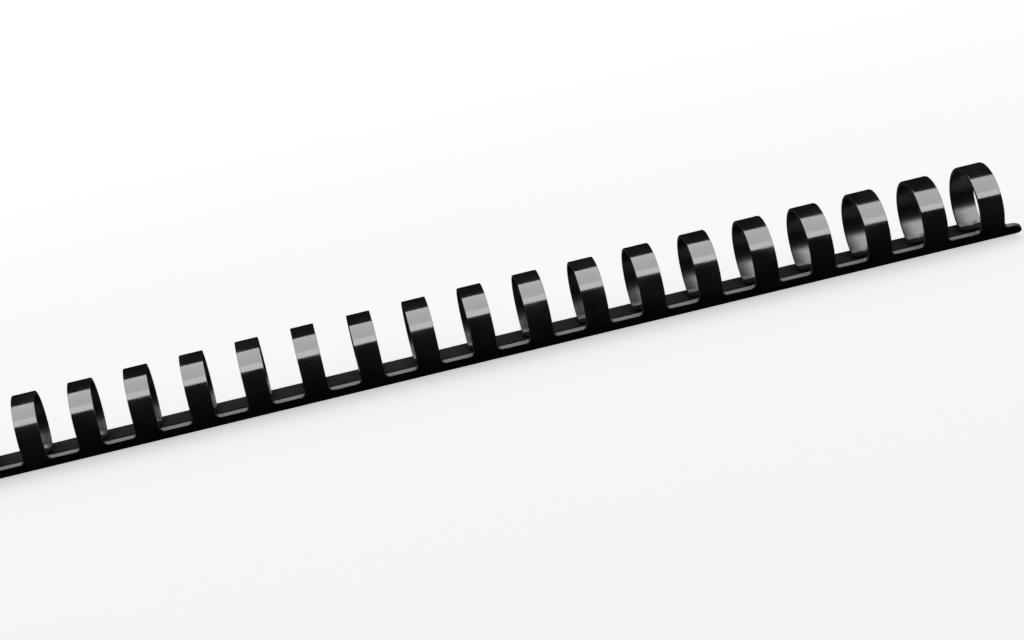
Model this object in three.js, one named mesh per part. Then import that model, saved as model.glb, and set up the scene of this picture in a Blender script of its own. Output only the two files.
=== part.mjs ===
/**
 * Plastic binding comb: a long spine with a row of fingers that curl round into rings.
 *
 * The comb is one sheet of PVC, cut to a spine with fingers along one edge and rolled up.
 * X runs along the comb, +Z is up, and the fingers are rooted on the spine's front edge (-Y).
 * They curl up, over the top and down the back, and their tips tuck inside the spine's lip.
 * A finger bends all along its length. Here it is three stiff sections with a hinge line
 * before each of them: root, mid and tip. All sizes are in millimetres.
 */
import * as THREE from 'three';

// Comb as a whole
const RING_COUNT = 19;
const RING_PITCH = 14.2875; // 9/16 inch, the pitch of punched binding holes
const RING_HEIGHT = 19.4; // outside height, from the rest land to the top of a ring
const SHEET_THICKNESS = 1.0;
const END_MARGIN = 5.0; // spine beyond the outermost finger's edge

// Fingers
const FINGER_WIDTH = 5.9;
const TIP_CORNER_RADIUS = 1.6;
const TIP_TURN = 326; // direction of the finger at its tip, in degrees from the rest land
const TIP_CLEARANCE = 0.52; // between a finger's tip and the inside of the lip

// Spine
const FRONT_EDGE_TURN = 52.5; // how far the spine curls up before the fingers start
const REST_LAND_WIDTH = 2.4; // flat strip under the spine, which the comb stands on
const LIP_SLOPE = 22; // rise of the straight lip behind the tips, in degrees
const LIP_LENGTH = 3.8;
const SPINE_CORNER_RADIUS = 3.5;
const ROOT_FILLET = 1.0; // where a finger runs out of the spine's front edge
const ROOT_STUB = 1.5; // finger length that stays with the spine, up to the first hinge line

// Hinge lines and fineness
const SECTION_NAMES = ['root', 'mid', 'tip'];
const SECTION_GAP = 0.3;
const FACET_TURN = 7.5; // largest turn between two facets of a curl, in degrees
const NARROWEST_FACET = 0.08;
const CORNER_STEPS = 4;

const BLACK_PVC = { color: 0x0d0c0d, roughness: 0.22, metalness: 0 };

/** Direction of travel along the outer surface, in the YZ plane, after a turn from the land. */
function heading(turn) {
  const angle = THREE.MathUtils.degToRad(turn);
  return new THREE.Vector2(-Math.cos(angle), Math.sin(angle));
}

/** Direction from the outer surface into the curl. */
function inward(turn) {
  const angle = THREE.MathUtils.degToRad(turn);
  return new THREE.Vector2(Math.sin(angle), Math.cos(angle));
}

/** A straight stretch of the outline. */
function straight(turn, length) {
  const end = (start) => start.clone().addScaledVector(heading(turn), length);
  const at = (start, distance) => ({
    point: start.clone().addScaledVector(heading(turn), distance),
    turn,
  });
  return { length, end, at, facets: 1 };
}

/** An arc that turns from one direction to another. */
function arc(fromTurn, toTurn, radius) {
  const length = THREE.MathUtils.degToRad(toTurn - fromTurn) * radius;
  const at = (start, distance) => {
    const turn = fromTurn + THREE.MathUtils.radToDeg(distance / radius);
    const centre = start.clone().addScaledVector(inward(fromTurn), radius);
    return { point: centre.addScaledVector(inward(turn), -radius), turn };
  };
  const end = (start) => at(start, length).point;
  return { length, end, at, facets: Math.ceil((toTurn - fromTurn) / FACET_TURN) };
}

/** Radius of the finger's back half, so that its tip keeps TIP_CLEARANCE to the lip. */
function backRadius(frontRadius) {
  const slope = THREE.MathUtils.degToRad(LIP_SLOPE);
  const tip = THREE.MathUtils.degToRad(360 - TIP_TURN);
  const reach = frontRadius * Math.cos(slope) + frontRadius - SHEET_THICKNESS
    + REST_LAND_WIDTH * Math.sin(slope) - TIP_CLEARANCE;
  return reach / (Math.sin(tip) * Math.sin(slope) + (1 + Math.cos(tip)) * Math.cos(slope));
}

/**
 * Outline of the curl's outer surface, in order from the lip to the tip.
 * A place on the sheet is its distance along this outline from the lip's edge.
 */
function layOutCurl() {
  const radius = RING_HEIGHT / 2;
  const spine = [
    straight(-LIP_SLOPE, LIP_LENGTH),
    arc(-LIP_SLOPE, 0, radius),
    straight(0, REST_LAND_WIDTH),
    arc(0, FRONT_EDGE_TURN, radius),
  ];
  const finger = [
    arc(FRONT_EDGE_TURN, 180, radius),
    arc(180, TIP_TURN, backRadius(radius)),
  ];
  const stretches = [...spine, ...finger];
  let distance = 0;
  let start = new THREE.Vector2(0, 0);
  for (const stretch of stretches) {
    stretch.from = distance;
    stretch.start = start;
    distance += stretch.length;
    start = stretch.end(start);
  }
  const restLand = stretches[2].start;
  const origin = new THREE.Vector2(restLand.x - REST_LAND_WIDTH / 2, restLand.y);
  for (const stretch of stretches) {
    stretch.start = stretch.start.clone().sub(origin);
  }
  const frontEdge = spine.reduce((sum, stretch) => sum + stretch.length, 0);
  return { stretches, frontEdge, tip: distance };
}

const curl = layOutCurl();

/** Point of the sheet at a distance along the outline and a depth under the outer surface. */
function sheetPoint(distance, depth) {
  const stretch = curl.stretches.findLast((each) => each.from <= distance) ?? curl.stretches[0];
  const { point, turn } = stretch.at(stretch.start, distance - stretch.from);
  return point.addScaledVector(inward(turn), depth);
}

/** Distances along the outline that share one rounded corner, which ends at an edge. */
function roundingLines(edge, intoSheet, radius) {
  const lines = [];
  for (let step = 0; step <= CORNER_STEPS; step += 1) {
    const angle = (step / CORNER_STEPS) * (Math.PI / 2);
    lines.push(edge + intoSheet * radius * (1 - Math.sin(angle)));
  }
  return lines;
}

/** How far a quarter-round of that radius stands off its straight side, near its edge. */
function rounding(fromEdge, radius) {
  if (fromEdge >= radius) {
    return 0;
  }
  const rise = radius - Math.max(fromEdge, 0);
  return radius - Math.sqrt(radius * radius - rise * rise);
}

/** Every distance between two places where the sheet has an edge, a corner line or a bend. */
function linesBetween(from, to, cornerLines) {
  const bends = curl.stretches.flatMap((stretch) => {
    const step = stretch.length / stretch.facets;
    return Array.from({ length: stretch.facets }, (_, index) => stretch.from + index * step);
  });
  const inside = [...bends, ...cornerLines]
    .filter((line) => line > from + NARROWEST_FACET && line < to - NARROWEST_FACET)
    .sort((a, b) => a - b)
    .filter((line, index, all) => index === 0 || line - all[index - 1] > NARROWEST_FACET);
  return [from, ...inside, to];
}

/** Collects the two skins of a rolled sheet, with the walls along its edges, as one closed body. */
class RolledSheet {
  corners = [];
  triangles = [];

  /** A line of corners across the sheet, at the given places along X. */
  addRow(line, places) {
    const outerPoint = sheetPoint(line, 0);
    const innerPoint = sheetPoint(line, SHEET_THICKNESS);
    const add = (x, point) => this.corners.push(x, point.x, point.y) / 3 - 1;
    return {
      outer: places.map((x) => add(x, outerPoint)),
      inner: places.map((x) => add(x, innerPoint)),
    };
  }

  addFace(a, b, c, d) {
    this.triangles.push(a, b, c, a, c, d);
  }

  /** Skins and side walls from each row to the next. */
  joinRows(rows) {
    for (let index = 0; index + 1 < rows.length; index += 1) {
      const near = rows[index];
      const far = rows[index + 1];
      const last = near.outer.length - 1;
      for (let place = 0; place < last; place += 1) {
        const next = place + 1;
        this.addFace(near.outer[place], near.outer[next], far.outer[next], far.outer[place]);
        this.addFace(near.inner[next], near.inner[place], far.inner[place], far.inner[next]);
      }
      this.addFace(near.inner[0], near.outer[0], far.outer[0], far.inner[0]);
      this.addFace(near.outer[last], near.inner[last], far.inner[last], far.outer[last]);
    }
  }

  /** The cut face across a row where the sheet begins. */
  closeStart({ outer, inner }) {
    for (let place = 0; place + 1 < outer.length; place += 1) {
      this.addFace(outer[place], inner[place], inner[place + 1], outer[place + 1]);
    }
  }

  /** The cut face across a row where the sheet ends. */
  closeEnd({ outer, inner }) {
    for (let place = 0; place + 1 < outer.length; place += 1) {
      this.addFace(outer[place], outer[place + 1], inner[place + 1], inner[place]);
    }
  }

  toGeometry() {
    const geometry = new THREE.BufferGeometry();
    geometry.setAttribute('position', new THREE.Float32BufferAttribute(this.corners, 3));
    geometry.setIndex(this.triangles);
    geometry.computeVertexNormals();
    return geometry;
  }
}

function ringCentre(index) {
  return (index - (RING_COUNT - 1) / 2) * RING_PITCH;
}

/** Half the width of a finger: flared at its root, rounded at its tip. */
function fingerHalfWidth(line) {
  return FINGER_WIDTH / 2
    + rounding(line - curl.frontEdge, ROOT_FILLET)
    - rounding(curl.tip - line, TIP_CORNER_RADIUS);
}

/** The spine: a rolled plate with a short filleted stub where each finger starts. */
function makeSpine() {
  const { frontEdge } = curl;
  const halfLength = ringCentre(RING_COUNT - 1) + FINGER_WIDTH / 2 + END_MARGIN;
  const fingerEdges = Array.from({ length: RING_COUNT }, (_, index) => [
    ringCentre(index) - fingerHalfWidth(frontEdge),
    ringCentre(index) + fingerHalfWidth(frontEdge),
  ]).flat();
  const plateLines = linesBetween(0, frontEdge, [
    ...roundingLines(0, 1, SPINE_CORNER_RADIUS),
    ...roundingLines(frontEdge, -1, SPINE_CORNER_RADIUS),
  ]);
  const sheet = new RolledSheet();
  const rows = plateLines.map((line) => {
    const end = halfLength
      - rounding(line, SPINE_CORNER_RADIUS)
      - rounding(frontEdge - line, SPINE_CORNER_RADIUS);
    return sheet.addRow(line, [-end, ...fingerEdges, end]);
  });
  sheet.joinRows(rows);
  sheet.closeStart(rows[0]);

  const pieceOf = ({ outer, inner }, first) => ({
    outer: outer.slice(first, first + 2),
    inner: inner.slice(first, first + 2),
  });
  const frontRow = rows.at(-1);
  for (let gap = 0; gap <= RING_COUNT; gap += 1) {
    sheet.closeEnd(pieceOf(frontRow, 2 * gap));
  }
  const stubEnd = frontEdge + ROOT_STUB - SECTION_GAP / 2;
  const fillet = roundingLines(frontEdge, 1, ROOT_FILLET);
  const [, ...stubLines] = linesBetween(frontEdge, stubEnd, fillet);
  for (let index = 0; index < RING_COUNT; index += 1) {
    const stubRows = stubLines.map((line) => {
      const half = fingerHalfWidth(line);
      return sheet.addRow(line, [ringCentre(index) - half, ringCentre(index) + half]);
    });
    sheet.joinRows([pieceOf(frontRow, 2 * index + 1), ...stubRows]);
    sheet.closeEnd(stubRows.at(-1));
  }
  return sheet.toGeometry();
}

/** One section of a finger, between two places along the curl. */
function makeSection(from, to) {
  const sheet = new RolledSheet();
  const tipCorner = roundingLines(curl.tip, -1, TIP_CORNER_RADIUS);
  const rows = linesBetween(from, to, tipCorner).map((line) => {
    const half = fingerHalfWidth(line);
    return sheet.addRow(line, [-half, half]);
  });
  sheet.closeStart(rows[0]);
  sheet.joinRows(rows);
  sheet.closeEnd(rows.at(-1));
  return sheet.toGeometry();
}

/** The sections of one finger, from its first hinge line to its tip. */
function makeSections() {
  const from = curl.frontEdge + ROOT_STUB;
  const sectionLength = (curl.tip - from) / SECTION_NAMES.length;
  return SECTION_NAMES.map((name, index) => {
    const isTip = index === SECTION_NAMES.length - 1;
    const start = from + index * sectionLength + SECTION_GAP / 2;
    const end = isTip ? curl.tip : from + (index + 1) * sectionLength - SECTION_GAP / 2;
    return { name, geometry: makeSection(start, end) };
  });
}

function addPiece(parent, name, geometry) {
  const mesh = new THREE.Mesh(geometry, new THREE.MeshStandardMaterial(BLACK_PVC));
  mesh.name = name;
  parent.add(mesh);
}

function buildComb() {
  const comb = new THREE.Group();
  addPiece(comb, 'spine', makeSpine());
  const sections = makeSections();
  for (let index = 0; index < RING_COUNT; index += 1) {
    const finger = new THREE.Group();
    finger.position.x = ringCentre(index);
    const number = String(index + 1).padStart(2, '0');
    for (const { name, geometry } of sections) {
      addPiece(finger, `finger_${number}_${name}`, geometry);
    }
    comb.add(finger);
  }
  const centre = new THREE.Box3().setFromObject(comb, true).getCenter(new THREE.Vector3());
  comb.position.y = -centre.y;
  return comb;
}

export default buildComb();
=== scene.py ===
"""A plastic binding comb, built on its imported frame: one rolled sheet of black PVC."""

import math

import bmesh
import bpy
from mathutils import Matrix, Vector


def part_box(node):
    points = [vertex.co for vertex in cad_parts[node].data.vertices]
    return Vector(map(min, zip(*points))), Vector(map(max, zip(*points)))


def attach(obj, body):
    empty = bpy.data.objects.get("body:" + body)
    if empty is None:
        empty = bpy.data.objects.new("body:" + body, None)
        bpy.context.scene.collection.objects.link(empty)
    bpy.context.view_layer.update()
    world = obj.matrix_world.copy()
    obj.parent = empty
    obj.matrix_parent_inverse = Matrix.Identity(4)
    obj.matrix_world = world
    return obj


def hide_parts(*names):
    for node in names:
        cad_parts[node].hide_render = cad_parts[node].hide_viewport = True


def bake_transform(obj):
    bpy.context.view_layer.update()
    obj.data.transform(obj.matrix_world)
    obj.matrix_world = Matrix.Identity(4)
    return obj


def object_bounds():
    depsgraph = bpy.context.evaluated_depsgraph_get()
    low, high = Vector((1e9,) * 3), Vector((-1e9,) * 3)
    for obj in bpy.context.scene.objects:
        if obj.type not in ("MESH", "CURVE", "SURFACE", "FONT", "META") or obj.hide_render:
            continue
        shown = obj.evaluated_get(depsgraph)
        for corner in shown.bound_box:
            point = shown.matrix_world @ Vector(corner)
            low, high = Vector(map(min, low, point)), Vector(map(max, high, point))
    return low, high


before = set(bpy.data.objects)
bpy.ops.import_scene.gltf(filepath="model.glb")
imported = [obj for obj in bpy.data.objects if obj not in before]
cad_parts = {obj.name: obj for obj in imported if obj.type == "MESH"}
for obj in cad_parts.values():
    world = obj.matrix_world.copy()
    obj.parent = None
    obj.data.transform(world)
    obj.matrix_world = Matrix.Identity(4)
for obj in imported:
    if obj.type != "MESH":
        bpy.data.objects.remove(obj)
cad_box = [list(corner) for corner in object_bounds()]


# Black PVC sheet
# Rigid PVC, coloured through and calendered with its outer face on a polished roll. That leaves
# a deep gloss with a faint orange peel and drawn lines. The inner face came off a satin roll,
# and the die leaves a dull face wherever it has sheared the sheet.
BLACK = "#060506"
BLACK_HAZE = "#0b0a0a"
GLOSS_ROUGHNESS = (0.085, 0.15)
SATIN_ROUGHNESS = 0.26
SHEARED_ROUGHNESS = 0.55
PEEL_SPACING, PEEL_HEIGHT = 1.1, 0.0016
# real draw lines lie about 0.25 mm apart, too fine to show, so they are twice as coarse here
DRAW_LINE_SPACING, DRAW_LINE_LENGTH, DRAW_LINE_HEIGHT = 0.5, 18, 0.0007
HAZE_SPACING = 9
SHEET_THICKNESS = 1.0
EASED_EDGE = 0.13


def linear(colour):
    """An sRGB hex colour as linear red, green, blue and alpha."""
    shares = [int(colour[place:place + 2], 16) / 255 for place in (1, 3, 5)]
    return [s / 12.92 if s <= 0.04045 else ((s + 0.055) / 1.055) ** 2.4 for s in shares] + [1]


def add_node(tree, kind, inputs=None, **settings):
    """Adds a node with its settings, and sets or links its inputs by name or place."""
    node = tree.nodes.new(kind)
    for setting, value in settings.items():
        setattr(node, setting, value)
    for socket, value in (inputs or {}).items():
        if isinstance(value, bpy.types.NodeSocket):
            tree.links.new(value, node.inputs[socket])
        else:
            node.inputs[socket].default_value = value
    return node


black_pvc = bpy.data.materials.new("black_pvc_sheet")
black_pvc.use_nodes = True
pvc = black_pvc.node_tree
pvc.nodes.clear()
# where a point lies on the flat sheet, in millimetres: along the comb, from the lip, and deep
on_sheet = add_node(pvc, "ShaderNodeAttribute", attribute_name="on_sheet").outputs["Vector"]
depth = add_node(pvc, "ShaderNodeSeparateXYZ", {0: on_sheet}).outputs["Z"]
from_middle = add_node(
    pvc, "ShaderNodeMath", {0: depth, 1: SHEET_THICKNESS / 2}, operation="SUBTRACT"
).outputs[0]
off_middle = add_node(pvc, "ShaderNodeMath", {0: from_middle}, operation="ABSOLUTE").outputs[0]
sheared = add_node(
    pvc, "ShaderNodeMapRange",
    {"Value": off_middle, "From Min": SHEET_THICKNESS / 2 - EASED_EDGE,
     "From Max": SHEET_THICKNESS / 2 - EASED_EDGE / 2, "To Min": 1, "To Max": 0},
    interpolation_type="SMOOTHSTEP",
).outputs["Result"]
haze = add_node(
    pvc, "ShaderNodeTexNoise", {"Vector": on_sheet, "Scale": 1 / HAZE_SPACING, "Detail": 4}
).outputs["Fac"]
colour = add_node(pvc, "ShaderNodeValToRGB", {"Fac": haze})
colour.color_ramp.elements[0].position = 0.45
colour.color_ramp.elements[0].color = linear(BLACK)
colour.color_ramp.elements[1].position = 0.75
colour.color_ramp.elements[1].color = linear(BLACK_HAZE)
gloss = add_node(
    pvc, "ShaderNodeMapRange",
    {"Value": haze, "From Min": 0.35, "From Max": 0.7,
     "To Min": GLOSS_ROUGHNESS[0], "To Max": GLOSS_ROUGHNESS[1]},
).outputs["Result"]
inner_side = add_node(
    pvc, "ShaderNodeMath", {0: depth, 1: SHEET_THICKNESS / 2}, operation="GREATER_THAN"
).outputs[0]
uncut = add_node(
    pvc, "ShaderNodeMix", {0: inner_side, 2: gloss, 3: SATIN_ROUGHNESS}, data_type="FLOAT"
).outputs[0]
roughness = add_node(
    pvc, "ShaderNodeMix", {0: sheared, 2: uncut, 3: SHEARED_ROUGHNESS}, data_type="FLOAT"
).outputs[0]
peel = add_node(
    pvc, "ShaderNodeTexNoise", {"Vector": on_sheet, "Scale": 1 / PEEL_SPACING, "Detail": 2}
).outputs["Fac"]
peeled = add_node(
    pvc, "ShaderNodeBump", {"Height": peel, "Distance": PEEL_HEIGHT / 1000, "Strength": 1}
).outputs["Normal"]
drawn = add_node(
    pvc, "ShaderNodeMapping",
    {"Vector": on_sheet,
     "Scale": (1 / DRAW_LINE_LENGTH, 1 / DRAW_LINE_SPACING, 1 / DRAW_LINE_SPACING)},
).outputs[0]
draw_lines = add_node(
    pvc, "ShaderNodeTexNoise", {"Vector": drawn, "Scale": 1, "Detail": 3}
).outputs["Fac"]
surface = add_node(
    pvc, "ShaderNodeBump",
    {"Height": draw_lines, "Distance": DRAW_LINE_HEIGHT / 1000, "Strength": 1, "Normal": peeled},
).outputs["Normal"]
plastic = add_node(
    pvc, "ShaderNodeBsdfPrincipled",
    {"Base Color": colour.outputs["Color"], "Roughness": roughness, "IOR": 1.54,
     "Normal": surface},
)
add_node(pvc, "ShaderNodeOutputMaterial", {"Surface": plastic.outputs["BSDF"]})


# The curl
# The die-cut sheet is heated and rolled round a mandrel, from the spine's lip to the tips of
# the fingers. A flat blank holds X along the comb, Y the distance from the lip's edge and Z
# the depth under the outside, in millimetres, and the rolling takes it to its place.
RING_RADIUS = 9.7
LIP_LENGTH, LIP_SLOPE = 3.8, math.radians(22)
REST_LAND = 2.4
FRONT_TURN, BACK_TURN = math.radians(180), math.radians(146)
TIP_CLEARANCE = 0.52
LEAN_GROWTH = 1.6  # power of the share of its length by which a finger's lean grows
SMALLEST_HALF_TURN = 0.0001  # keeps a straight stretch from dividing by nothing
# the back is curled a little tighter than the front, so that the tips tuck inside the lip
tip_turn_left = math.pi - BACK_TURN
BACK_RADIUS = (
    RING_RADIUS * (1 + math.cos(LIP_SLOPE)) - SHEET_THICKNESS - TIP_CLEARANCE
    + REST_LAND * math.sin(LIP_SLOPE)
) / (math.cos(LIP_SLOPE) + math.cos(tip_turn_left - LIP_SLOPE))
LIP_EDGE = (
    0,
    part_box("spine")[1].y * 1000,
    RING_RADIUS * (1 - math.cos(LIP_SLOPE)) + LIP_LENGTH * math.sin(LIP_SLOPE),
)

stretch = bpy.data.node_groups.new("Stretch of the curl", "GeometryNodeTree")
for name, kind in (
    ("Place", "Float"), ("Begins", "Float"), ("Length", "Float"), ("Turn", "Float"),
    ("Start", "Vector"), ("Heading", "Float"),
):
    stretch.interface.new_socket(name, in_out="INPUT", socket_type="NodeSocket" + kind)
for name, kind in (("Ends", "Float"), ("Point", "Vector"), ("Heading", "Float")):
    stretch.interface.new_socket(name, in_out="OUTPUT", socket_type="NodeSocket" + kind)
given = add_node(stretch, "NodeGroupInput").outputs
past_start = add_node(
    stretch, "ShaderNodeMath", {0: given["Place"], 1: given["Begins"]}, operation="SUBTRACT"
).outputs[0]
before_end = add_node(
    stretch, "ShaderNodeMath", {0: past_start, 1: given["Length"]}, operation="MINIMUM"
).outputs[0]
along = add_node(stretch, "ShaderNodeMath", {0: before_end, 1: 0}, operation="MAXIMUM").outputs[0]
share = add_node(
    stretch, "ShaderNodeMath", {0: along, 1: given["Length"]}, operation="DIVIDE"
).outputs[0]
turned = add_node(
    stretch, "ShaderNodeMath", {0: share, 1: given["Turn"]}, operation="MULTIPLY"
).outputs[0]
half_turn = add_node(stretch, "ShaderNodeMath", {0: turned, 1: 0.5}, operation="MULTIPLY").outputs[0]
arc_half = add_node(
    stretch, "ShaderNodeMath", {0: half_turn, 1: SMALLEST_HALF_TURN}, operation="MAXIMUM"
).outputs[0]
arc_sine = add_node(stretch, "ShaderNodeMath", {0: arc_half}, operation="SINE").outputs[0]
shortening = add_node(
    stretch, "ShaderNodeMath", {0: arc_sine, 1: arc_half}, operation="DIVIDE"
).outputs[0]
chord = add_node(
    stretch, "ShaderNodeMath", {0: along, 1: shortening}, operation="MULTIPLY"
).outputs[0]
chord_heading = add_node(
    stretch, "ShaderNodeMath", {0: given["Heading"], 1: half_turn}, operation="ADD"
).outputs[0]
forwards = add_node(stretch, "ShaderNodeMath", {0: chord_heading}, operation="COSINE").outputs[0]
backwards = add_node(
    stretch, "ShaderNodeMath", {0: forwards, 1: -1}, operation="MULTIPLY"
).outputs[0]
upwards = add_node(stretch, "ShaderNodeMath", {0: chord_heading}, operation="SINE").outputs[0]
direction = add_node(stretch, "ShaderNodeCombineXYZ", {1: backwards, 2: upwards}).outputs[0]
travel = add_node(
    stretch, "ShaderNodeVectorMath", {0: direction, "Scale": chord}, operation="SCALE"
).outputs[0]
reached = add_node(
    stretch, "ShaderNodeVectorMath", {0: given["Start"], 1: travel}, operation="ADD"
).outputs[0]
new_heading = add_node(
    stretch, "ShaderNodeMath", {0: given["Heading"], 1: turned}, operation="ADD"
).outputs[0]
stretch_end = add_node(
    stretch, "ShaderNodeMath", {0: given["Begins"], 1: given["Length"]}, operation="ADD"
).outputs[0]
add_node(
    stretch, "NodeGroupOutput", {"Ends": stretch_end, "Point": reached, "Heading": new_heading}
)

rolling = bpy.data.node_groups.new("Rolled comb sheet", "GeometryNodeTree")
for name, kind, value in (
    ("Geometry", "Geometry", None),
    ("Ring radius", "Float", RING_RADIUS),
    ("Back radius", "Float", BACK_RADIUS),
    ("Lip length", "Float", LIP_LENGTH),
    ("Lip slope", "Float", LIP_SLOPE),
    ("Rest land", "Float", REST_LAND),
    ("Front turn", "Float", FRONT_TURN),
    ("Back turn", "Float", BACK_TURN),
    ("Lip edge", "Vector", LIP_EDGE),
    ("Centre", "Float", 0),
    ("Root", "Float", 0),
    ("Tip", "Float", 1),
    ("Sway", "Float", 0),
    ("Bulge", "Float", 0),
    ("Station", "Int", 0),
    ("Seed", "Int", 5),
    ("Material", "Material", black_pvc),
):
    socket = rolling.interface.new_socket(
        name, in_out="INPUT", socket_type="NodeSocket" + kind
    )
    if value is not None:
        socket.default_value = value
rolling.interface.new_socket("Geometry", in_out="OUTPUT", socket_type="NodeSocketGeometry")
given = add_node(rolling, "NodeGroupInput").outputs
flat = add_node(
    rolling, "ShaderNodeSeparateXYZ", {0: add_node(rolling, "GeometryNodeInputPosition").outputs[0]}
).outputs
# no two fingers spring back alike: each leans a little to one side and bulges a little
from_root = add_node(
    rolling, "ShaderNodeMapRange",
    {"Value": flat["Y"], "From Min": given["Root"], "From Max": given["Tip"]},
).outputs["Result"]
lean = add_node(
    rolling, "FunctionNodeRandomValue",
    {2: -1, 3: 1, "ID": given["Station"], "Seed": given["Seed"]}, data_type="FLOAT",
).outputs[1]
other_seed = add_node(
    rolling, "ShaderNodeMath", {0: given["Seed"], 1: 1}, operation="ADD"
).outputs[0]
swell = add_node(
    rolling, "FunctionNodeRandomValue",
    {2: -1, 3: 1, "ID": given["Station"], "Seed": other_seed}, data_type="FLOAT",
).outputs[1]
lean_share = add_node(
    rolling, "ShaderNodeMath", {0: from_root, 1: LEAN_GROWTH}, operation="POWER"
).outputs[0]
leaning = add_node(rolling, "ShaderNodeMath", {0: lean, 1: lean_share}, operation="MULTIPLY")
aside = add_node(
    rolling, "ShaderNodeMath",
    {0: leaning.outputs[0], 1: given["Sway"], 2: given["Centre"]}, operation="MULTIPLY_ADD",
).outputs[0]
along_comb = add_node(rolling, "ShaderNodeMath", {0: flat["X"], 1: aside}, operation="ADD").outputs[0]
half_wave = add_node(
    rolling, "ShaderNodeMath", {0: from_root, 1: math.pi}, operation="MULTIPLY"
).outputs[0]
swell_share = add_node(rolling, "ShaderNodeMath", {0: half_wave}, operation="SINE").outputs[0]
swelling = add_node(rolling, "ShaderNodeMath", {0: swell, 1: swell_share}, operation="MULTIPLY")
deep = add_node(
    rolling, "ShaderNodeMath",
    {0: swelling.outputs[0], 1: given["Bulge"], 2: flat["Z"]}, operation="MULTIPLY_ADD",
).outputs[0]
sheet_place = add_node(
    rolling, "ShaderNodeCombineXYZ", {0: along_comb, 1: flat["Y"], 2: flat["Z"]}
).outputs[0]
marked = add_node(
    rolling, "GeometryNodeStoreNamedAttribute",
    {"Geometry": given["Geometry"], "Name": "on_sheet", "Value": sheet_place},
    data_type="FLOAT_VECTOR", domain="POINT",
).outputs["Geometry"]
heel_length = add_node(
    rolling, "ShaderNodeMath", {0: given["Ring radius"], 1: given["Lip slope"]},
    operation="MULTIPLY",
).outputs[0]
front_length = add_node(
    rolling, "ShaderNodeMath", {0: given["Ring radius"], 1: given["Front turn"]},
    operation="MULTIPLY",
).outputs[0]
back_length = add_node(
    rolling, "ShaderNodeMath", {0: given["Back radius"], 1: given["Back turn"]},
    operation="MULTIPLY",
).outputs[0]
first_heading = add_node(
    rolling, "ShaderNodeMath", {0: given["Lip slope"], 1: -1}, operation="MULTIPLY"
).outputs[0]
begins, point, heading = 0, given["Lip edge"], first_heading
for length, turn in (
    (given["Lip length"], 0),
    (heel_length, given["Lip slope"]),
    (given["Rest land"], 0),
    (front_length, given["Front turn"]),
    (back_length, given["Back turn"]),
):
    bent = add_node(rolling, "GeometryNodeGroup", node_tree=stretch)
    for name, value in (
        ("Place", flat["Y"]), ("Begins", begins), ("Length", length), ("Turn", turn),
        ("Start", point), ("Heading", heading),
    ):
        if isinstance(value, bpy.types.NodeSocket):
            rolling.links.new(value, bent.inputs[name])
        else:
            bent.inputs[name].default_value = value
    begins, point, heading = (bent.outputs[name] for name in ("Ends", "Point", "Heading"))
inward = add_node(
    rolling, "ShaderNodeCombineXYZ",
    {1: add_node(rolling, "ShaderNodeMath", {0: heading}, operation="SINE").outputs[0],
     2: add_node(rolling, "ShaderNodeMath", {0: heading}, operation="COSINE").outputs[0]},
).outputs[0]
under_surface = add_node(
    rolling, "ShaderNodeVectorMath", {0: inward, "Scale": deep}, operation="SCALE"
).outputs[0]
in_section = add_node(
    rolling, "ShaderNodeVectorMath", {0: point, 1: under_surface}, operation="ADD"
).outputs[0]
rolled_place = add_node(
    rolling, "ShaderNodeVectorMath",
    {0: in_section,
     1: add_node(rolling, "ShaderNodeCombineXYZ", {0: along_comb}).outputs[0]},
    operation="ADD",
).outputs[0]
in_metres = add_node(
    rolling, "ShaderNodeVectorMath", {0: rolled_place, "Scale": 0.001}, operation="SCALE"
).outputs[0]
rolled = add_node(
    rolling, "GeometryNodeSetPosition", {"Geometry": marked, "Position": in_metres}
).outputs[0]
# depth runs inwards and X, Y and Z of the flat blank make a left-handed set once it is rolled
outside_out = add_node(rolling, "GeometryNodeFlipFaces", {"Mesh": rolled}).outputs[0]
real = add_node(rolling, "GeometryNodeRealizeInstances", {"Geometry": outside_out}).outputs[0]
coated = add_node(
    rolling, "GeometryNodeSetMaterial", {"Geometry": real, "Material": given["Material"]}
).outputs[0]
add_node(rolling, "NodeGroupOutput", {"Geometry": coated})

comb_pieces = bpy.data.collections.new("Comb")
bpy.context.scene.collection.children.link(comb_pieces)


def rows_between(start, end, step):
    """Places of the rows from one edge to another, closer together towards both."""
    count = math.ceil(math.pi / 2 * (end - start) / step)
    middle, half = (start + end) / 2, (end - start) / 2
    return [middle - half * math.cos(math.pi * row / count) for row in range(1, count)]


def cut_blank(name, outline, seams, rows):
    """Die-cuts a flat piece of sheet with eased edges, sharp only where it meets another."""
    blank = bmesh.new()
    outer = [blank.verts.new((x, y, 0)) for x, y in outline]
    inner = [blank.verts.new((x, y, SHEET_THICKNESS)) for x, y in outline]
    blank.faces.new(outer[::-1])
    blank.faces.new(inner)
    for here in range(-1, len(outline) - 1):
        blank.faces.new((outer[here], outer[here + 1], inner[here + 1], inner[here]))

    def on_seam(edge):
        return any(all(abs(v.co.y - seam) < 1e-4 for v in edge.verts) for seam in seams)

    rim = [
        edge for edge in blank.edges
        if abs(edge.verts[0].co.z - edge.verts[1].co.z) < 1e-4 and not on_seam(edge)
    ]
    bmesh.ops.bevel(
        blank, geom=rim, offset=EASED_EDGE, offset_type="OFFSET", segments=3, profile=0.5,
        affect="EDGES", clamp_overlap=False,
    )
    for row in rows:
        bmesh.ops.bisect_plane(
            blank, geom=blank.verts[:] + blank.edges[:] + blank.faces[:], dist=1e-5,
            plane_co=(0, row, 0), plane_no=(0, 1, 0),
        )
    for face in blank.faces:
        face.smooth = True
    for edge in blank.edges:
        edge.smooth = not on_seam(edge)
    mesh = bpy.data.meshes.new(name)
    blank.to_mesh(mesh)
    blank.free()
    return mesh


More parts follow.
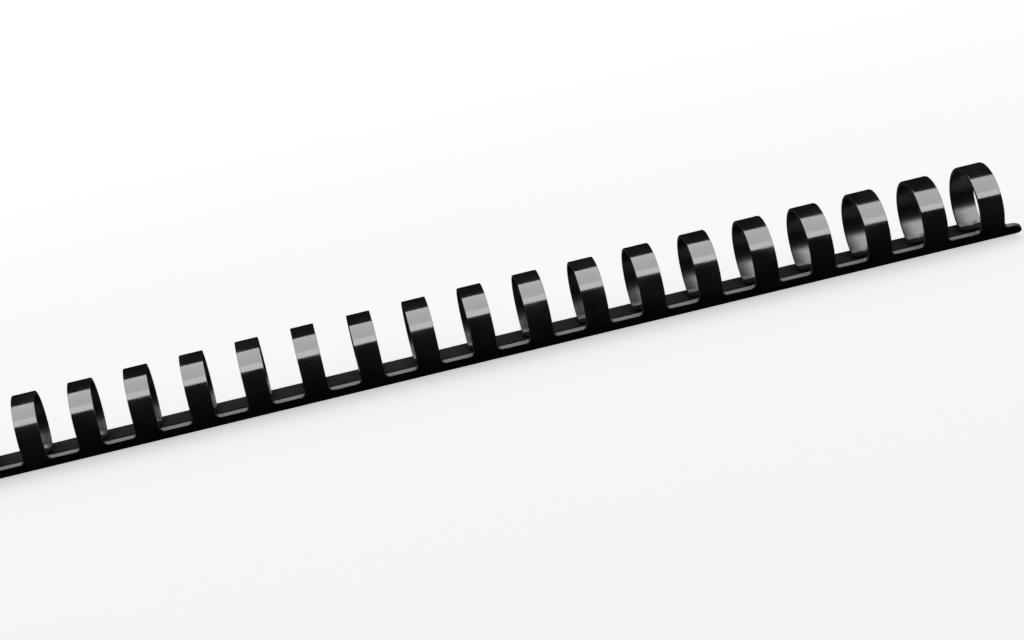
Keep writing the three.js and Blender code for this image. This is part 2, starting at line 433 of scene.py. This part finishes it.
def roll_up(name, blank, **sizes):
    """Rolls a flat blank to its place in the comb, as a plain mesh."""
    piece = bpy.data.objects.new(name, blank)
    comb_pieces.objects.link(piece)
    roll = piece.modifiers.new("Rolling", "NODES")
    roll.node_group = rolling
    for socket in rolling.interface.items_tree:
        if socket.in_out == "INPUT" and socket.name in sizes:
            roll[socket.identifier] = sizes[socket.name]
    even = piece.modifiers.new("Even shading", "WEIGHTED_NORMAL")
    even.keep_sharp = True
    depsgraph = bpy.context.evaluated_depsgraph_get()
    shape = bpy.data.meshes.new_from_object(
        piece.evaluated_get(depsgraph), preserve_all_data_layers=True, depsgraph=depsgraph
    )
    piece.modifiers.clear()
    piece.data = shape
    shape.name = name
    return piece


# Spine
# The spine is the uncut part of the sheet, curled to a long trough that the rings stand on.
# Its lip closes behind the finger tips, and each finger runs out of its front edge on a small
# fillet. Its four corners are rounded off by the die.
RING_COUNT, RING_PITCH = 19, 14.2875
FINGER_WIDTH = 5.9
END_MARGIN = 5.0
CORNER_RADIUS, ROOT_FILLET = 3.5, 1.0
FRONT_EDGE_TURN, ROOT_STUB = math.radians(52.5), 1.5
ROW_SPACING, STUB_ROW_SPACING = 0.3, 0.25
FRONT_EDGE = LIP_LENGTH + RING_RADIUS * (LIP_SLOPE + FRONT_EDGE_TURN) + REST_LAND
ROOT_HINGE = FRONT_EDGE + ROOT_STUB


def corner(x, y, radius, start, end, steps):
    """Points of a rounded corner about x, y, from one direction to another, in degrees."""
    angles = [math.radians(start + (end - start) * step / steps) for step in range(steps + 1)]
    return [(x + radius * math.cos(angle), y + radius * math.sin(angle)) for angle in angles]


ring_centres = [(ring - (RING_COUNT - 1) / 2) * RING_PITCH for ring in range(RING_COUNT)]
spine_end = ring_centres[-1] + FINGER_WIDTH / 2 + END_MARGIN
corner_x = spine_end - CORNER_RADIUS
spine_outline = [
    *corner(-corner_x, CORNER_RADIUS, CORNER_RADIUS, 180, 270, 10),
    *corner(corner_x, CORNER_RADIUS, CORNER_RADIUS, -90, 0, 10),
    *corner(corner_x, FRONT_EDGE - CORNER_RADIUS, CORNER_RADIUS, 0, 90, 10),
]
for centre in reversed(ring_centres):
    fillet_x = FINGER_WIDTH / 2 + ROOT_FILLET
    spine_outline += [
        *corner(centre + fillet_x, FRONT_EDGE + ROOT_FILLET, ROOT_FILLET, 270, 180, 8),
        (centre + FINGER_WIDTH / 2, ROOT_HINGE),
        (centre - FINGER_WIDTH / 2, ROOT_HINGE),
        *corner(centre - fillet_x, FRONT_EDGE + ROOT_FILLET, ROOT_FILLET, 0, -90, 8),
    ]
spine_outline += corner(-corner_x, FRONT_EDGE - CORNER_RADIUS, CORNER_RADIUS, 90, 180, 10)
spine = roll_up(
    "spine_trough",
    cut_blank(
        "spine_blank", spine_outline, [ROOT_HINGE],
        rows_between(0, FRONT_EDGE, ROW_SPACING) + [FRONT_EDGE]
        + rows_between(FRONT_EDGE, ROOT_HINGE, STUB_ROW_SPACING),
    ),
)
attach(spine, "spine")
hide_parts("spine")


# Fingers
# Nineteen fingers are cut in one with the spine and curl up, over and down into it. Each
# is three lengths that meet without a gap, in place of the frame's root, mid and tip parts.
TIP = LIP_LENGTH + RING_RADIUS * (LIP_SLOPE + FRONT_TURN) + REST_LAND + BACK_RADIUS * BACK_TURN
TIP_CORNER = 1.6
SECTION = (TIP - ROOT_HINGE) / 3
JOINS = [ROOT_HINGE + SECTION / 2 + SECTION * part for part in range(2)]
FINGER_SWAY, FINGER_BULGE = 0.22, 0.1
LAST_FINGER_SWAY = 1.5  # the finger at the free end has been pulled aside in handling

half_width = FINGER_WIDTH / 2
tip_x, tip_y = half_width - TIP_CORNER, TIP - TIP_CORNER
finger_lengths = []
for part, (start, end) in enumerate(zip([ROOT_HINGE, *JOINS], [*JOINS, TIP])):
    if end == TIP:
        far_end = [*corner(tip_x, tip_y, TIP_CORNER, 0, 90, 12),
                   *corner(-tip_x, tip_y, TIP_CORNER, 90, 180, 12)]
        seams = [start]
    else:
        far_end = [(half_width, end), (-half_width, end)]
        seams = [start, end]
    outline = [(-half_width, start), (half_width, start), *far_end]
    rows = rows_between(start, end, ROW_SPACING)
    finger_lengths.append((start, end, cut_blank(f"finger_blank_{part}", outline, seams, rows)))


def bend_line(piece, start, end):
    """The straight line that a length bends along, from all of one row to all of another."""
    same_row = 0.2
    places = [value.vector.y for value in piece.data.attributes["on_sheet"].data]
    points = [vertex.co for vertex in piece.data.vertices]
    first = [point for point, place in zip(points, places) if abs(place - start) < same_row]
    last = [point for point, place in zip(points, places) if abs(place - end) < same_row]
    near, far = (sum(row, Vector()) / len(row) for row in (first, last))
    near.x = far.x = 0
    along = (far - near).normalized()
    return (
        near + along * max((point - near).dot(along) for point in first),
        far + along * min((point - far).dot(along) for point in last),
    )


# length of finger, the bodies it joins, and where along it the bend is over
BENDS = (
    ("root", None, JOINS[0]),
    ("mid", "root", JOINS[1]),
    ("tip", "mid", JOINS[1] + SECTION),
)
for ring, centre in enumerate(ring_centres, start=1):
    finger = f"finger_{ring:02d}"
    sway = LAST_FINGER_SWAY if ring == RING_COUNT else FINGER_SWAY
    for (start, end, blank), (section, before, bent_by) in zip(finger_lengths, BENDS):
        length = roll_up(
            f"{finger}_{section}_length", blank.copy(), Centre=centre, Station=ring,
            Root=ROOT_HINGE, Tip=TIP, Sway=sway, Bulge=FINGER_BULGE,
        )
        line_start, line_end = bend_line(length, start, bent_by)
        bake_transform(length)
        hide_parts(f"{finger}_{section}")


# Camera
# It stands in front of the comb and a little above, level with it along its length and
# rolled, so that the comb climbs to the right. The comb's far end is framed by a side shift.
VIEW_RISE, VIEW_ROLL = math.radians(14.25), math.radians(13.586)
VIEW_DISTANCE = 0.502
AIM_ABOVE = math.radians(1.231)
foot = Vector((-0.04086, cad_box[0][1] + RING_RADIUS / 1000, RING_RADIUS / 1000))
camera = bpy.data.objects.new("Camera", bpy.data.cameras.new("Camera"))
bpy.context.scene.collection.objects.link(camera)
camera.data.sensor_width = 36
camera.data.lens = 70.6
camera.data.shift_x = 0.199
place = foot + VIEW_DISTANCE * Vector((0, -math.cos(VIEW_RISE), math.sin(VIEW_RISE)))
aim = VIEW_RISE - AIM_ABOVE
up = Vector((0, math.sin(aim), math.cos(aim)))
back = Vector((0, -math.cos(aim), math.sin(aim)))
across = Vector((1, 0, 0))
right = across * math.cos(VIEW_ROLL) - up * math.sin(VIEW_ROLL)
upright = across * math.sin(VIEW_ROLL) + up * math.cos(VIEW_ROLL)
camera.matrix_world = Matrix.Translation(place) @ Matrix((right, upright, back)).transposed().to_4x4()
camera.data.clip_start, camera.data.clip_end = 0.01, 60
bpy.context.scene.camera = camera
bpy.context.scene.view_settings.view_transform = "Standard"


# Studio
# A plain white floor under even light, which the gloss of the comb doesn't mirror, and two
# banks of one long overhead softbox, which it does. The front bank is the brighter one.
FLOOR_WHITE = "#f8f8f7"
FLOOR_GLOW = 0.62  # lit from below as a light table is, which keeps the shadow pale
FLOOR_REACH = 12
floor_mesh = bpy.data.meshes.new("floor")
floor_corners = [(x * FLOOR_REACH, y * FLOOR_REACH, 0) for x, y in ((-1, -1), (1, -1), (1, 1), (-1, 1))]
floor_mesh.from_pydata(floor_corners, [], [(0, 1, 2, 3)])
floor = bpy.data.objects.new("floor", floor_mesh)
bpy.context.scene.collection.objects.link(floor)
floor.visible_glossy = False
floor_paper = bpy.data.materials.new("white_floor_paper")
floor_paper.use_nodes = True
paper = floor_paper.node_tree.nodes["Principled BSDF"]
paper.inputs["Base Color"].default_value = linear(FLOOR_WHITE)
paper.inputs["Roughness"].default_value = 0.9
paper.inputs["Specular IOR Level"].default_value = 0
paper.inputs["Emission Color"].default_value = linear(FLOOR_WHITE)
paper.inputs["Emission Strength"].default_value = FLOOR_GLOW
floor_mesh.materials.append(floor_paper)

world = bpy.data.worlds.new("Studio")
bpy.context.scene.world = world
world.use_nodes = True
world.node_tree.nodes.clear()
seen = add_node(world.node_tree, "ShaderNodeLightPath").outputs["Is Camera Ray"]
backdrop = add_node(world.node_tree, "ShaderNodeBackground", {"Color": linear("#fdfdfc")})
unlit = add_node(
    world.node_tree, "ShaderNodeBackground", {"Color": linear("#202020"), "Strength": 0.1}
)
surround = add_node(
    world.node_tree, "ShaderNodeMixShader",
    {0: seen, 1: unlit.outputs[0], 2: backdrop.outputs[0]},
)
add_node(world.node_tree, "ShaderNodeOutputWorld", {"Surface": surround.outputs[0]})

daylight = bpy.data.lights.new("Even top light", "SUN")
daylight.energy = 1.6
daylight.angle = math.radians(150)
overhead = bpy.data.objects.new("Even top light", daylight)
overhead.visible_glossy = False
bpy.context.scene.collection.objects.link(overhead)

# Each bank is a sheet of lit cloth. Its edges are set by how high they stand over the horizon,
# in degrees, as the rings mirror them: level along the comb, then sinking over its last rings.
SOFTBOX_HEIGHT = 0.9
SOFTBOX_LEFT, SOFTBOX_RIGHT = -1.1, 1.4
FIRST_SINKING_RING = 13
SINKS_FROM = ring_centres[FIRST_SINKING_RING - 1] / 1000
SINKS_TO = ring_centres[-1] / 1000


def mirrored_place(ring_x, rise):
    """The point of the softbox that a ring at an X mirrors towards the camera."""
    reach = SOFTBOX_HEIGHT / math.sin(rise)
    return (
        ring_x + (ring_x - foot.x) / VIEW_DISTANCE * reach,
        -SOFTBOX_HEIGHT / math.tan(rise),
        SOFTBOX_HEIGHT,
    )


# name, brightness, and the rises of its two edges where it is level and where it has sunk
for name, radiance, level_rises, sunk_rises in (
    ("front_bank", 10.4, (36.3, 54), (24, 39)),
    ("top_bank", 7.9, (54, 104), (39, 88.6)),
):
    corners = []
    for level, sunk in zip(level_rises, sunk_rises):
        bend = mirrored_place(SINKS_FROM, math.radians(level))
        low = mirrored_place(SINKS_TO, math.radians(sunk))
        corners += [(SOFTBOX_LEFT, *bend[1:]), bend, low, (SOFTBOX_RIGHT, *low[1:])]
    cloth = bpy.data.meshes.new(name)
    cloth.from_pydata(corners, [], [(n, n + 1, n + 5, n + 4) for n in range(3)])
    lit = bpy.data.materials.new(name + "_lit_cloth")
    lit.use_nodes = True
    lit.node_tree.nodes.clear()
    glow = add_node(lit.node_tree, "ShaderNodeEmission", {"Strength": radiance})
    add_node(lit.node_tree, "ShaderNodeOutputMaterial", {"Surface": glow.outputs[0]})
    cloth.materials.append(lit)
    softbox = bpy.data.objects.new(name, cloth)
    bpy.context.scene.collection.objects.link(softbox)
    softbox.visible_camera = softbox.visible_shadow = False
    softbox.light_linking.receiver_collection = comb_pieces
